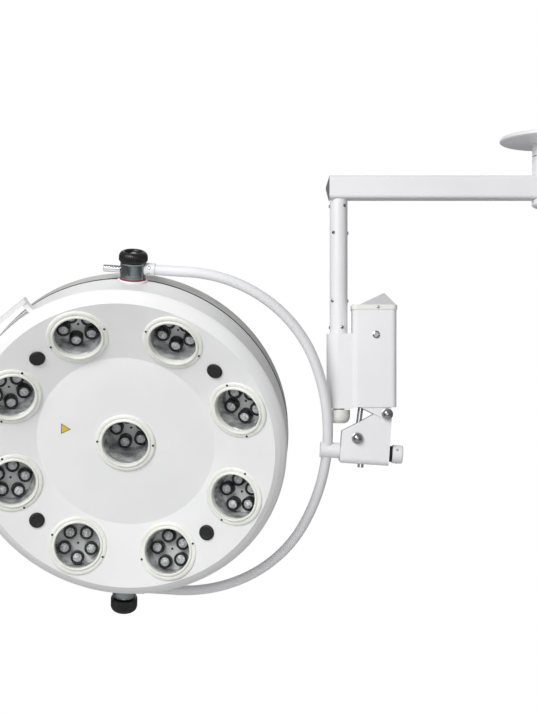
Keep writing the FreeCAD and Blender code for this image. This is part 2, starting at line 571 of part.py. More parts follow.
def tilting_block():
    """A folded sheet block, open at the top, that hangs on the hinge pin and holds the roll bearing."""
    left, right, low = -size("block_left"), size("block_right"), -size("block_bottom")
    # the sloping upper edge, from the low end beside the yoke up over the hinge pin
    slope = [(left + 1, -42), (-67, -26), (-32, -4), (-9, 9), (0, 11.5), (7, 9), (right, 2)]
    outline = [(left + 3, low), (right, low)] + slope[::-1] + [(left - 1, low + 5)]
    whole = plate("block_whole", outline, size("block_half") * 2)
    doc.recompute()
    inner_half = amount("block_half") - amount("block_thick")
    long, back = as_size(160), -130
    room = rounded_bar("block_room", long, as_size(2 * inner_half), size("block_belly").number - 3)
    room.Placement = at(x=back, z=low.number + inner_half + 3)
    above = doc.addObject("Part::Box", "block_above")
    bind(above, Length=long, Width=(size("block_half") - size("block_thick")) * 2, Height=long)
    above.Placement = at(x=back, y=-inner_half, z=low.number + inner_half + 3)
    belly = rounded_bar("block_belly", long, size("block_half") * 2, amount("block_belly"))
    belly.Placement = at(x=back, z=low.number + amount("block_half"))
    head_room = doc.addObject("Part::Box", "block_head_room")
    bind(head_room, Length=long, Width=size("block_half") * 2, Height=long)
    head_room.Placement = at(x=back, y=-amount("block_half"), z=low.number + amount("block_half"))
    outside = doc.addObject("Part::MultiCommon", "block_outside")
    outside.Shapes = [whole, fuse("block_envelope", belly, head_room)]
    pin = Placement(Vector(0, THROUGH / 2, 0), ALONG_MINUS_Y)
    hinge_bore = cylinder("block_hinge_bore", size("pin_radius") + size("running_fit"), THROUGH, pin)
    rod_spot = Placement(Vector(-amount("rod_pin_x"), THROUGH / 2, -amount("rod_pin_drop")), ALONG_MINUS_Y)
    rod_bore = cylinder("block_rod_bore", size("pin_radius"), THROUGH, rod_spot)
    stud_bore = cylinder("block_stud_bore", size("screw_hole"), 30, at(x=-amount("screw_x"), z=low.number - 10))
    keep("tilt_block", cut("tilt_block", outside, room, above, hinge_bore, rod_bore, stud_bore), BLOCK)
    keep("rod_pin", cylinder("rod_pin", size("pin_radius"), size("block_half") * 2 + 12,
                             Placement(Vector(-amount("rod_pin_x"), amount("block_half") + 6,
                                              -amount("rod_pin_drop")), ALONG_MINUS_Y)), BLOCK)
    nut = dome_nut("rod_pin_nut", size("nut_radius"), size("pin_radius"), 6)
    places = [at(x=-amount("rod_pin_x"), z=-amount("rod_pin_drop")) * at(axis=(0, 0, 1), angle=turn)
              * at(y=-amount("block_half"), axis=(1, 0, 0), angle=90) for turn in (0, 180)]
    keep("rod_pin_nuts", copies("rod_pin_nuts", nut, places), BLOCK)
    axis = -amount("shaft_drop")
    back, front = -size("bearing_back"), right - 0.5
    bush_bore, bush_rim = size("roll_radius") + size("running_fit"), size("roll_radius") + size("roll_bush_wall")
    bearing = tube("roll_bearing_tube", bush_rim, size("bearing_radius"), back, front)
    stud_room = cylinder("bearing_stud_room", size("screw_hole"), 40,
                         at(z=-amount("screw_x"), axis=(0, 1, 0), angle=90))
    along = BLOCK * Placement(Vector(0, 0, axis), ALONG_X)
    keep("roll_bearing", cut("roll_bearing", bearing, stud_room), along)
    bush = tube("roll_bush", bush_bore, bush_rim, 0, 20)
    keep("roll_bushes", copies("roll_bushes", bush, [at(z=back), at(z=front - 20)]), along)
    low_tip = -size("block_bottom") - 8
    contact = -(size("shaft_drop") + size("roll_radius") + 0.6)
    stud = size("screw_radius")
    keep("friction_screw", turned("friction_screw", [
        (0, low_tip), (6, low_tip), (6.8, low_tip + 1), (6.8, low_tip + 7.8), (stud, low_tip + 7.8),
        (stud, contact), (0, contact)]), BLOCK * at(x=-amount("screw_x")))


# --- yoke ----------------------------------------------------------------------------------------------

def yoke_path():
    """The middle line of the yoke tube: straight leg, corner arc, wide arc, corner arc, straight leg."""
    half, wide, corner = amount("yoke_half"), amount("yoke_wide_arc"), amount("yoke_corner_arc")
    turn = math.asin((half - corner) / (wide - corner))
    centre_x = -wide + (wide - corner) * math.cos(turn)
    centre_z = (wide - corner) * math.sin(turn)
    middle = (math.radians(90) + turn) / 2

    def on_corner(angle, side):
        return Vector(centre_x + corner * math.cos(angle), 0, side * (centre_z + corner * math.sin(angle)))

    leg_x = -amount("yoke_reach") + amount("barrel_radius") + 4
    crown_turn = math.radians(90)
    edges = [Part.Arc(on_corner(turn, 1), Vector(), on_corner(turn, -1)).toShape()]
    for side in (1, -1):
        crown = on_corner(crown_turn, side)
        edges.append(Part.Arc(crown, on_corner(middle, side), on_corner(turn, side)).toShape())
        edges.append(Part.LineSegment(Vector(leg_x, 0, crown.z), crown).toShape())
    return Part.Wire(Part.__sortEdges__(edges)), Vector(leg_x, 0, half)


def yoke():
    path, leg = yoke_path()
    lift = amount("yoke_lift")
    bends = []
    for name, radius in (("outer", amount("yoke_radius")), ("inner", amount("yoke_radius") - amount("yoke_wall"))):
        ring = Part.Wire(Part.Circle(leg, Vector(1, 0, 0), radius).toShape())
        bend = doc.addObject("Part::Feature", f"yoke_{name}")
        bend.Shape = path.makePipeShell([ring], True, True)
        bends.append(bend)
    shaft_room = cylinder("yoke_shaft_room", size("roll_radius"), 60,
                          Placement(Vector(-30, 0, -lift), ALONG_X))
    along = YOKE * Placement(Vector(), ALONG_X)
    collar = tube("tee_collar", size("roll_radius"), size("collar_radius"), -15.5, 28)
    tube_room = doc.addObject("Part::Feature", "tee_tube_room")
    tube_room.Shape = bends[0].Shape.copy()
    tube_room.Placement = Placement(Vector(0, 0, 0), ALONG_X).inverse() * at(z=lift)
    keep("tee_collar", cut("tee_collar", collar, tube_room), along)
    shaft_end = size("tube_x") + 37
    keep("roll_shaft", tube("roll_shaft", size("roll_bore"), size("roll_radius"), -15, shaft_end), along)
    start = size("tube_x") + 13
    shaft = size("roll_radius")
    keep("end_washer", tube("end_washer", shaft, size("bearing_radius"), start - 2, start + 4.8), along)
    rim = size("end_collar_radius")
    end_collar = turned("end_collar_turned", [
        (shaft, start + 5), (rim - 1.3, start + 5), (rim, start + 6.5), (rim, start + 25.5),
        (rim - 1.8, start + 28), (0, start + 28), (0, shaft_end + 0.3), (shaft, shaft_end + 0.3)])

    barrels = []
    for side, high in ((1, size("barrel_high")), (-1, size("lower_barrel_high"))):
        low = size("barrel_low")
        body = turned(f"barrel_{side + 1}", [
            (size("pivot_bore"), low), (size("barrel_radius"), low), (size("barrel_radius"), high - 1.5),
            (size("barrel_radius") - 1.5, high), (size("pivot_bore"), high)])
        body.Placement = at(axis=(1, 0, 0), angle=0 if side > 0 else 180)
        barrels.append(body)
    pair = doc.addObject("Part::Compound", "pivot_barrels")
    pair.Links = barrels
    keep("pivot_barrels", pair, HEAD)
    yoke_leg = amount("yoke_half")
    socket = tube("leg_collar", size("yoke_radius"), size("leg_collar_radius"),
                  20 - size("yoke_reach"), 46 - size("yoke_reach"))
    places = [Placement(Vector(0, 0, side * yoke_leg), ALONG_X) for side in (1, -1)]
    sockets = copies("leg_collars_whole", socket, places)
    barrel_room = cylinder("collar_barrel_room", size("barrel_radius"), 1000, at(x=-amount("yoke_reach"), z=-500))
    master = screw("collar_screw", as_size(3.4), as_size(1.6), as_size(2.2), as_size(3))
    black = set_screw("collar_set_screw", as_size(2.8), as_size(5))
    spots = []
    for side in (1, -1):
        for turn in (-28, 28):
            spots.append(at(x=-amount("yoke_reach") + 34, z=side * yoke_leg + lift)
                         * at(axis=(1, 0, 0), angle=turn)
                         * at(y=0.2 - amount("leg_collar_radius"), axis=(1, 0, 0), angle=90))
    leg_screws = copies("leg_screws", master, spots)
    ring_spots = []
    for turn in (-50, 50, 130, 230):
        ring_spots.append(at(x=amount("tube_x") + 28) * at(axis=(1, 0, 0), angle=turn)
                          * at(y=0.2 - amount("end_collar_radius"), axis=(1, 0, 0), angle=90))
    set_screws = copies("end_screws", black, ring_spots)
    all_screws = doc.addObject("Part::Compound", "collar_screws")
    all_screws.Links = [leg_screws, set_screws]
    set_room = copies("end_screw_room", stand_for("end_screws_turned", set_screws),
                      [Placement(Vector(), ALONG_X).inverse()])
    leg_room = copies("leg_screw_room", stand_for("leg_screws_moved", leg_screws), [at(z=-lift)])
    keep("end_collar", cut("end_collar", end_collar, set_room), along)
    keep("leg_collars", cut("leg_collars", sockets, barrel_room, leg_room), YOKE * at(z=lift))
    keep("yoke_tube", cut("yoke_tube", bends[0], bends[1], shaft_room, leg_room), YOKE * at(z=lift))
    keep("collar_screws", stand_for("collar_screws_placed", all_screws), YOKE)
    reach = size("pin_reach") - size("barrel_radius")
    thick = size("stop_pin_radius")
    pin = turned("stop_pin", [(0, 0), (thick, 0), (thick, reach - 1), (thick - 1, reach), (0, reach)])
    keep("stop_pin", pin, HEAD * Placement(Vector(-amount("barrel_radius"), 0, amount("yoke_half") - 3),
                                           Rotation(Vector(0, 1, 0), -90)))


def knobs():
    """A clamping knob with a dished top at each end of the pivot, and the bolt that holds it."""
    radius, dish = size("knob_radius"), size("knob_dish")
    bore = size("pivot_bore")
    bolts = []
    for label, flip, start, height in (
            ("upper_knob", 0, size("barrel_high") + 0.5, size("knob_height")),
            ("lower_knob", 180, size("lower_barrel_high") + 4, size("lower_knob_height"))):
        top = start + height
        body = turned(label + "_turned", [
            (bore + 0.3, start), (radius - 3, start), (radius, start + 3), (radius, top - 12),
            (radius - 1.5, top - 6), (radius - 5, top - 2), (radius - 9, top),
            (radius - 12, top - 1), (radius - 13, top - dish), (bore + 0.3, top - dish)])
        keep(label, body, HEAD * at(axis=(1, 0, 0), angle=flip))
        bolt = turned(label + "_bolt", [
            (0, start - 22), (6, start - 22), (6, start - 0.8), (bore, start - 0.8), (bore, top - dish + 0.2),
            (bore - 2, top - dish + 5), (0, top - dish + 5)])
        bolt.Placement = at(axis=(1, 0, 0), angle=flip)
        bolts.append(bolt)
    pair = doc.addObject("Part::Compound", "knob_bolts")
    pair.Links = bolts
    keep("knob_bolts", pair, HEAD)


# --- lamp head -----------------------------------------------------------------------------------------

def on_slope(turn, pitch, lift=0.0):
    """A frame on the front shell's sloping ring whose Z points out of it."""
    run = amount("crease_radius") - amount("disc_radius")
    rise = amount("crease_front") - amount("disc_front")
    front = amount("disc_front") + rise * (amount(pitch) - amount("disc_radius")) / run
    return at(axis=(0, 0, 1), angle=turn) * at(x=amount(pitch), z=front + lift) \
        * at(axis=(0, 1, 0), angle=-math.degrees(math.atan2(rise, run)))


def lamp_places():
    """Frames on the front shell whose Z points out of each lamp: the centre lamp first."""
    around = [on_slope(LAMP_START + index * 360 / LAMP_COUNT, "lamp_pitch") for index in range(LAMP_COUNT)]
    return [at(z=amount("disc_front"))] + around


def pivot_holes(name):
    """Two bores through the head's side, one for each pivot pin."""
    holes = []
    for side in (1, -1):
        spot = at(axis=(0, 0, 1), angle=90 * side) * at(x=amount("head_radius") - 12, axis=(0, 1, 0), angle=90)
        holes.append(cylinder(f"{name}_{side}", size("pivot_hole"), 30, spot))
    return holes


def shells():
    """The dished front shell, the rear shell and the gasket between them; the front one is drilled later."""
    wall = size("shell_wall")
    rim, seam = size("head_radius"), size("seam_front")
    disc, crease = size("disc_radius"), size("crease_radius")
    front = turned("front_shell_turned", [
        (0, size("disc_front")), (disc, size("disc_front")), (crease, size("crease_front")),
        (rim - 14, size("bevel_front") + 12.5), (rim - 4, size("bevel_front") + 5), (rim, size("bevel_front")),
        (rim, seam), (rim - wall, seam), (rim - wall, size("bevel_front") - 1),
        (rim - 15, size("bevel_front") + 9), (crease, size("crease_front") - wall - 0.7),
        (disc, size("disc_front") - wall), (0, size("disc_front") - wall)])
    holes = []
    for index, place in enumerate(lamp_places()):
        holes.append(cylinder(f"lamp_hole_{index}", size("lamp_hole"), 60, place * at(z=-30)))
    for index in range(4):
        spot = at(axis=(0, 0, 1), angle=45 + 90 * index) * at(x=amount("plug_pitch"), z=20)
        holes.append(cylinder(f"plug_hole_{index}", size("plug_hole"), 100, spot))
    front_shell = cut("front_shell", front, *holes, *pivot_holes("front_pivot_hole"))

    rear, back = -size("rear_depth"), -size("back_depth")
    flat = size("back_flat")
    # the inner side of the shell goes back along the outer one
    rear_body = turned("rear_shell_turned", [
        (0, back), (flat, back), (252, back + 2), (300, back + 8), (rim - 20, back + 17),
        (rim - 6, rear + 4), (rim - 2, rear + 14), (rim - 1, seam - 5),
        (rim - 1 - wall, seam - 5), (rim - 2 - wall, rear + 14), (rim - 8.5, rear + 5.5),
        (rim - 22, back + 19.5), (299, back + 10.7), (252, back + 4.6), (flat, back + 2.6), (0, back + 2.6)])
    keep("rear_shell", cut("rear_shell", rear_body, *pivot_holes("rear_pivot_hole")), FACE)
    gasket = tube("rim_gasket_ring", rim - 10, rim - 1.6, seam - 4.9, seam - 0.1)
    keep("rim_gasket", cut("rim_gasket", gasket, *pivot_holes("gasket_pivot_hole")), FACE)
    return front_shell


def head_frame():
    """The steel cross that carries the head between its two pivot pins, behind the lamps."""
    rim = size("head_radius")
    bar = doc.addObject("Part::Box", "frame_upright")
    bind(bar, Length=30, Width=8, Height=rim * 2 - 48)
    bar.Placement = at(x=-15, y=50, z=-amount("head_radius") + 24)
    ties = []
    for side in (1, -1):
        tie = doc.addObject("Part::Box", f"frame_tie_{side + 1}")
        bind(tie, Length=44, Width=78, Height=8)
        tie.Placement = at(x=-22, y=-20, z=side * (amount("head_radius") - 28) - 4)
        ties.append(tie)
    pin, room = size("pivot_bore") - 0.04, size("pivot_bore") - 0.02
    bore = cylinder("frame_bore", room, rim * 2, at(z=-amount("head_radius")))
    inner = size("pivot_bore") + 0.1
    pins = []
    rings = []
    for side in (1, -1):
        flip = 0 if side > 0 else 180
        stub = turned(f"pivot_pin_{side + 1}", [
            (6.1, rim - 34), (12, rim - 34), (12, rim - 20.2), (pin, rim - 20.2), (pin, rim + 20),
            (6.1, rim + 20)])
        stub.Placement = at(axis=(1, 0, 0), angle=flip)
        pins.append(stub)
        ring = turned(f"seat_ring_{side + 1}", [
            (inner, rim - 3), (size("pivot_hole") - 0.5, rim - 3), (size("pivot_hole") - 0.5, rim + 1.5),
            (size("barrel_radius") + 2, rim + 1.5), (size("barrel_radius") + 2, rim + 3),
            (size("barrel_radius") + 0.5, rim + 4.6), (inner, rim + 4.6)])
        ring.Placement = at(axis=(1, 0, 0), angle=flip)
        rings.append(ring)
    plain = cut("head_frame_plain", fuse("head_frame_whole", bar, *ties), bore)
    keep("head_frame", fuse("head_frame", plain, *pins), HEAD)
    pair = doc.addObject("Part::Compound", "seat_rings")
    pair.Links = rings
    keep("seat_rings", pair, HEAD)


def lamps(front_shell):
    places = lamp_places()
    bore, hole, outer = size("ring_bore"), size("lamp_hole"), size("ring_radius")
    ring = turned("lamp_ring", [
        (bore, -30), (hole - 0.2, -30), (hole - 0.2, 0.1), (outer, 0.1), (outer, 2.6), (outer - 2.5, 5),
        (outer - 7, 5.6), (outer - 8, 4.2), (outer - 9.5, 4.2), (outer - 11, 7.6), (bore + 1.2, 7.6), (bore, 6.4)])
    rings = copies("lamp_ring_blanks", ring, places)
    glass = turned("lamp_glass", [(0, -5), (bore - 0.1, -5), (bore - 0.1, -2), (0, -2)])
    keep("lamp_glasses", copies("lamp_glasses", glass, places), FACE)

    groups = {"lamp_reflectors": [], "led_plates": [], "led_holders": [], "led_lenses": [], "lamp_screws": []}
    turned_places = [place * at(axis=(0, 0, 1), angle=turn) for place, turn in zip(places, LED_TURNS)]
    for kind, depth, spots in (("outer", size("lamp_depth"), turned_places[1:]),
                               ("centre", size("centre_depth"), turned_places[:1])):
        bowl = turned(f"{kind}_bowl", [
            (bore - 1.2, -(depth - 0.2)), (bore - 0.3, -depth + 0.8), (bore - 0.1, -6), (bore - 1.1, -6),
            (bore - 2.2, -(depth - 3))])
        board = turned(f"{kind}_board", [
            (0, -(depth + 4)), (bore + 1, -(depth + 4)), (bore + 1, -(depth + 0.1)), (0, -(depth + 0.1))])
        fins = []
        for index in range(7):
            fin = doc.addObject("Part::Box", f"{kind}_fin_{index}")
            bind(fin, Length=76, Width=2, Height=18)
            fin.Placement = at(x=-38, y=-37 + 12 * index, z=-depth.number - 21.5)
            fins.append(fin)
        plate_body = fuse(f"{kind}_plate", board, *fins) if kind == "outer" else board
        posts = [at(axis=(0, 0, 1), angle=index * 360 / LED_COUNT) * at(x=amount("led_pitch"), z=-depth.number)
                 for index in range(LED_COUNT)]
        holder = turned(f"{kind}_holder", [
            (0, 0.1), (size("holder_radius"), 0.1), (size("holder_radius"), size("holder_rise") - 1.5),
            (size("holder_radius") - 1, size("holder_rise")), (size("lens_radius") + 0.4, size("holder_rise")),
            (size("lens_radius") + 0.4, size("holder_rise") - 5), (0, size("holder_rise") - 5)])
        lens = turned(f"{kind}_lens", [
            (0, size("holder_rise") - 4.9), (size("lens_radius"), size("holder_rise") - 4.9),
            (size("lens_radius"), size("holder_rise") - 1), (size("lens_radius") - 3, size("holder_rise") + 1.2),
            (size("lens_radius") - 6, size("holder_rise") + 2.2), (0, size("holder_rise") + 2.6)])
        tiny = screw(f"{kind}_plate_screw", as_size(2.6), as_size(1.2), as_size(1.5), as_size(3))
        post_places = [spot * post for spot in spots for post in posts]
        centre_places = [spot * at(z=-depth.number - 0.1) for spot in spots]
        groups["lamp_reflectors"].append(copies(f"{kind}_reflectors", bowl, spots))
        groups["led_plates"].append(copies(f"{kind}_plates", plate_body, spots))
        groups["led_holders"].append(copies(f"{kind}_holders", holder, post_places))
        groups["led_lenses"].append(copies(f"{kind}_lenses", lens, post_places))
        groups["lamp_screws"].append(copies(f"{kind}_plate_screws", tiny, centre_places))
    small = screw("ring_screw", as_size(2.4), as_size(1.2), as_size(1.4), as_size(3))
    spots = []
    for index, place in enumerate(places):
        first = 90 if index else 0
        for turn in (first, first + 180):
            spots.append(place * at(axis=(0, 0, 1), angle=turn) * at(x=amount("ring_radius") - 4.5, z=5.2))
    groups["lamp_screws"].append(copies("ring_screws", small, spots))
    joined = {}
    for label, pieces in groups.items():
        joined[label] = doc.addObject("Part::Compound", label)
        joined[label].Links = pieces
    screws = joined["lamp_screws"]
    keep("front_shell", cut("front_shell_drilled", front_shell, screws), FACE)
    keep("lamp_rings", cut("lamp_rings", rings, front_shell, screws), FACE)
    keep("led_plates", cut("led_plates_drilled", joined.pop("led_plates"), screws), FACE)
    joined["lamp_screws"] = stand_for("lamp_screws_placed", screws)
    for label, pair in joined.items():
        keep(label, pair, FACE)

    plug = turned("rubber_plug", [
        (0, -14), (6, -14), (size("plug_neck"), -10), (size("plug_neck"), 0), (size("plug_radius"), 0),
        (size("plug_radius"), 2), (size("plug_radius") - 2, 4.2), (size("plug_radius") - 5, 5), (0, 5.4)])
    spots = [on_slope(45 + 90 * index, "plug_pitch", 0.3) for index in range(4)]
    keep("rubber_plugs", copies("rubber_plugs", plug, spots), FACE)


def grip_and_driver():
    """A pull handle on the side wall and the LED driver inside the head."""
    length, width, thick = size("grip_length"), size("grip_width"), size("grip_thick")
    leg_width = width - 4
    legs = []
    for side in (1, -1):
        leg = doc.addObject("Part::Box", f"grip_leg_{side + 1}")
        bind(leg, Length=10, Width=leg_width, Height=30)
        leg.Placement = at(x=side * (length.number / 2 - 6) - 5, y=-leg_width.number / 2, z=-30)
        legs.append(leg)
    flat = doc.addObject("Part::Box", "grip_flat")
    bind(flat, Length=length, Width=width, Height=thick)
    flat.Placement = at(x=-length.number / 2, y=-width.number / 2, z=-thick.number / 2)
    grip = fuse("grip_whole", flat, *legs)
    stand = at(x=amount("head_radius") + amount("grip_stand"), z=amount("grip_front"))
    spot = at(axis=(0, 0, 1), angle=GRIP_TURN) * stand * at(axis=(0, 1, 0), angle=90) \
        * at(axis=(0, 0, 1), angle=90)
    rim_room = cylinder("grip_rim_room", size("head_radius") + 0.05, 2 * THROUGH, spot.inverse() * at(z=-THROUGH))
    keep("grip_handle", cut("grip_handle", grip, rim_room), FACE * spot)
    box = doc.addObject("Part::Box", "driver_case")
    bind(box, Length=120, Width=26, Height=70)
    keep("driver_case", box, HEAD * at(x=95, y=50, z=-35))


def check_and_write():
    doc.recompute()
    for item in doc.Objects:
        if "Invalid" in item.State or "Error" in item.State:
            raise RuntimeError(f"{item.Label} failed: {item.State}")
    os.makedirs("parts", exist_ok=True)
    for label, item in nodes.items():
        shape = item.Shape
        if shape.isNull() or not shape.isValid():
            raise RuntimeError(f"{label} has no valid shape")
        shape.exportStep(os.path.join("parts", label + ".step"))
    print(len(nodes), "parts written")


ceiling_mount()
swinging_arm()
balancer()
balance_spring()
tilting_block()
yoke()
knobs()
lamps(shells())
head_frame()
grip_and_driver()
check_and_write()
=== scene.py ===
import bmesh
import bpy
import json
import math
from mathutils import Matrix, Vector

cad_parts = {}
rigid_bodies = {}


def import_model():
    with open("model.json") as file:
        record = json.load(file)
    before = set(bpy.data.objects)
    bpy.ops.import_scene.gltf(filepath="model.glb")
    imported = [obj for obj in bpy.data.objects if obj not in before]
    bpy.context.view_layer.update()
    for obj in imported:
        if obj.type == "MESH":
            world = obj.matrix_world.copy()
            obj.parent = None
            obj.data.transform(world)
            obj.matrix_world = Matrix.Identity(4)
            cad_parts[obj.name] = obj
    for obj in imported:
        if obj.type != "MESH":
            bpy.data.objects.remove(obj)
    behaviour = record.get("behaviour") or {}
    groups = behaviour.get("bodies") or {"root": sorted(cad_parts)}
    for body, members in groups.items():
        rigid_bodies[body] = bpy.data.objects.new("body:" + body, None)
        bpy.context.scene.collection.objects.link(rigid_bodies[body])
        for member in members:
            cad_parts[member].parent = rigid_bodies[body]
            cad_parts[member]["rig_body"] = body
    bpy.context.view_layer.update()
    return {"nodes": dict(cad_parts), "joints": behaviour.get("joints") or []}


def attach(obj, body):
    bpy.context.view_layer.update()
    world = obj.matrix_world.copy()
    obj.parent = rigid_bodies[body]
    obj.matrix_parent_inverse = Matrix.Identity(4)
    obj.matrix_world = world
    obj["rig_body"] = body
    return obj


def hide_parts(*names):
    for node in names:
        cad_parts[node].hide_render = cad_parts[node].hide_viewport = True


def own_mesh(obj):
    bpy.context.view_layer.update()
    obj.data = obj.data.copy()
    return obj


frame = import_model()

MM = 0.001

# --- places taken from the frame -----------------------------------------------------------------------

JOINTS = {joint["name"]: joint for joint in frame["joints"]}


def joint_place(name):
    return Vector(JOINTS[name]["pos_m"])


def joint_axis(name):
    return Vector(JOINTS[name]["axis"]).normalized()


def frame_of(origin, across, up):
    """A matrix whose X is across, whose Z is up and whose origin is given."""
    depth = up.cross(across)
    axes = Matrix((across, depth, up)).transposed().to_4x4()
    return Matrix.Translation(origin) @ axes


def move(x=0.0, y=0.0, z=0.0):
    """A shift by millimetres."""
    return Matrix.Translation(Vector((x, y, z)) * MM)


def turn(degrees, axis="Z"):
    return Matrix.Rotation(math.radians(degrees), 4, axis)


# The head's driving sizes in metres, as in the design.
LAMP_PITCH = 261 * MM
DISC_RADIUS = 193 * MM
CREASE_RADIUS = 325.5 * MM
DISC_FRONT = 50 * MM
CREASE_FRONT = 98 * MM
OUTER_DEPTH = 46 * MM
CENTRE_DEPTH = 92 * MM
LED_PITCH = 31 * MM
PLUG_PITCH = 264.5 * MM

# Counts, and angles in degrees.
LAMP_COUNT = 8
LAMP_START = 23.2
LED_COUNT = 5
LED_TURNS = (33, 37, 53, 5, 45, 26, 22, 28, 50)
PLUG_COUNT = 4
PLUG_START = 45
FACE_YAW = -1.1
BALANCER_LEAN = 3.7
KNOB_RIDGES = 44
STEPS_PER_RIDGE = 4
LEG_SCREW_LEAN = 28
END_SCREW_TURNS = (-50, 50, 130, 230)
SPRING_TURNS = 9
STEPS_PER_TURN = 24

# The slope of the dish's ring, in radians.
RING_LEAN = math.atan2(CREASE_FRONT - DISC_FRONT, CREASE_RADIUS - DISC_RADIUS)

# The other driving sizes, in millimetres.
HEAD_RIM = 350
PIVOT_BORE = 9.1
MARK_X = -133
MARK_Y = 22
BARREL_RADIUS = 27
BARREL_LOW = 355
UPPER_BARREL_TOP = 390
LOWER_BARREL_TOP = 396
# Each knob's name, the degrees that turn it outwards, where it starts from the head's centre, its height.
KNOBS = (("upper_knob", 0, 390.5, 22), ("lower_knob", 180, 400, 34))
KNOB_DISH = 9
RIDGE_DEPTH = 1.1
GRIP_INNER = 26
YOKE_TUBE_RADIUS = 11.2
YOKE_REACH = 437
YOKE_HALF = 375
YOKE_LIFT = 6
WIDE_ARC = 480
CORNER_ARC = 305
LEG_GAP = 4
LEG_COLLAR_RADIUS = 13.6
LEG_SCREW_X = 34
TUBE_X = 124.5
END_SCREW_X = 28
END_SCREW_REACH = 20.45
ROD_PIN_X = 61.2
ROD_PIN_DROP = 56.9
HINGE_NUT_FACE = 29.5
ROD_NUT_FACE = 26
SEAT_LOW = 8
SPRING_LENGTH = 150
SPRING_RADIUS = 15
SPRING_GAP = 0.3
WIRE_RADIUS = 2.2

HEAD = frame_of(joint_place("head_turn"), joint_axis("yoke_roll"), joint_axis("head_turn"))
FACE = HEAD @ turn(FACE_YAW) @ turn(90, "X")
YOKE = frame_of(joint_place("yoke_roll"), joint_axis("yoke_roll"), joint_axis("head_turn"))
HINGE = Matrix.Translation(joint_place("block_tilt")) @ turn(BALANCER_LEAN, "Y")
ROD_PIN = HINGE @ move(-ROD_PIN_X, 0, -ROD_PIN_DROP)


def on_slope(angle, radius):
    """The frame on the dish's sloping ring at an angle and radius; its Z points out of the dish."""
    run = (radius - DISC_RADIUS) / (CREASE_RADIUS - DISC_RADIUS)
    front = DISC_FRONT + (CREASE_FRONT - DISC_FRONT) * run
    spot = Matrix.Translation(Vector((radius, 0, front)))
    return FACE @ turn(angle) @ spot @ Matrix.Rotation(-RING_LEAN, 4, "Y")


CENTRE_LAMP = FACE @ Matrix.Translation(Vector((0, 0, DISC_FRONT)))
OUTER_LAMPS = [on_slope(LAMP_START + index * 360 / LAMP_COUNT, LAMP_PITCH) for index in range(LAMP_COUNT)]
ALL_LAMPS = [CENTRE_LAMP] + OUTER_LAMPS


# --- material building blocks --------------------------------------------------------------------------

class Finish:
    """A node material being put together around one shader."""

    def __init__(self, name, colour, rough, metal=0.0):
        self.material = bpy.data.materials.new(name)
        self.material.use_nodes = True
        self.nodes = self.material.node_tree.nodes
        self.links = self.material.node_tree.links
        self.shader = self.nodes["Principled BSDF"]
        self.shader.inputs["Base Color"].default_value = (*colour, 1)
        self.shader.inputs["Roughness"].default_value = rough
        self.shader.inputs["Metallic"].default_value = metal
        self.place = self.nodes.new("ShaderNodeTexCoord")

    def noise(self, scale, detail=3.0, stretch=None):
        """A noise pattern on the piece's own coordinates, stretched along its axes if asked."""
        grain = self.nodes.new("ShaderNodeTexNoise")
        grain.inputs["Scale"].default_value = scale
        grain.inputs["Detail"].default_value = detail
        source = self.place.outputs["Object"]
        if stretch:
            mapping = self.nodes.new("ShaderNodeMapping")
            mapping.inputs["Scale"].default_value = stretch
            self.links.new(source, mapping.inputs["Vector"])
            source = mapping.outputs["Vector"]
        self.links.new(source, grain.inputs["Vector"])
        return grain.outputs["Fac"]

    def span(self, value, low, high):
        """Maps the middle part of a 0 to 1 pattern, from 0.3 to 0.7, to low to high."""
        scaled = self.nodes.new("ShaderNodeMapRange")
        scaled.inputs["From Min"].default_value = 0.3
        scaled.inputs["From Max"].default_value = 0.7
        scaled.inputs["To Min"].default_value = low
        scaled.inputs["To Max"].default_value = high
        self.links.new(value, scaled.inputs["Value"])
        return scaled.outputs["Result"]

    def vary_colour(self, value, dark, light):
        ramp = self.nodes.new("ShaderNodeValToRGB")
        ramp.color_ramp.elements[0].position = 0.35
        ramp.color_ramp.elements[0].color = (*dark, 1)
        ramp.color_ramp.elements[1].position = 0.65
        ramp.color_ramp.elements[1].color = (*light, 1)
        self.links.new(value, ramp.inputs["Fac"])
        self.links.new(ramp.outputs["Color"], self.shader.inputs["Base Color"])

    def vary_rough(self, value, low, high):
        self.links.new(self.span(value, low, high), self.shader.inputs["Roughness"])

    def bump(self, value, strength, distance):
        relief = self.nodes.new("ShaderNodeBump")
        relief.inputs["Strength"].default_value = strength
        relief.inputs["Distance"].default_value = distance
        self.links.new(value, relief.inputs["Height"])
        self.links.new(relief.outputs["Normal"], self.shader.inputs["Normal"])


def tone(colour, factor):
    return tuple(min(1.0, channel * factor) for channel in colour)


def powder_coat(name, colour, rough=0.34):
    """Baked paint: a faint orange-peel surface, slightly uneven in gloss and shade."""
    finish = Finish(name, colour, rough)
    finish.shader.inputs["Specular IOR Level"].default_value = 0.45
    finish.vary_colour(finish.noise(7.0), tone(colour, 0.975), tone(colour, 1.02))
    finish.vary_rough(finish.noise(26.0), rough - 0.05, rough + 0.08)
    finish.bump(finish.noise(420.0, 1.0), 0.03, 0.0002)
    return finish.material


def moulded_plastic(name, colour, rough, grain=1400.0, relief=0.18):
    """Moulded plastic with a fine spark-eroded grain."""
    finish = Finish(name, colour, rough)
    finish.vary_colour(finish.noise(15.0), tone(colour, 0.95), tone(colour, 1.05))
    finish.vary_rough(finish.noise(60.0), rough - 0.06, rough + 0.08)
    finish.bump(finish.noise(grain, 2.0), relief, 0.0002)
    return finish.material


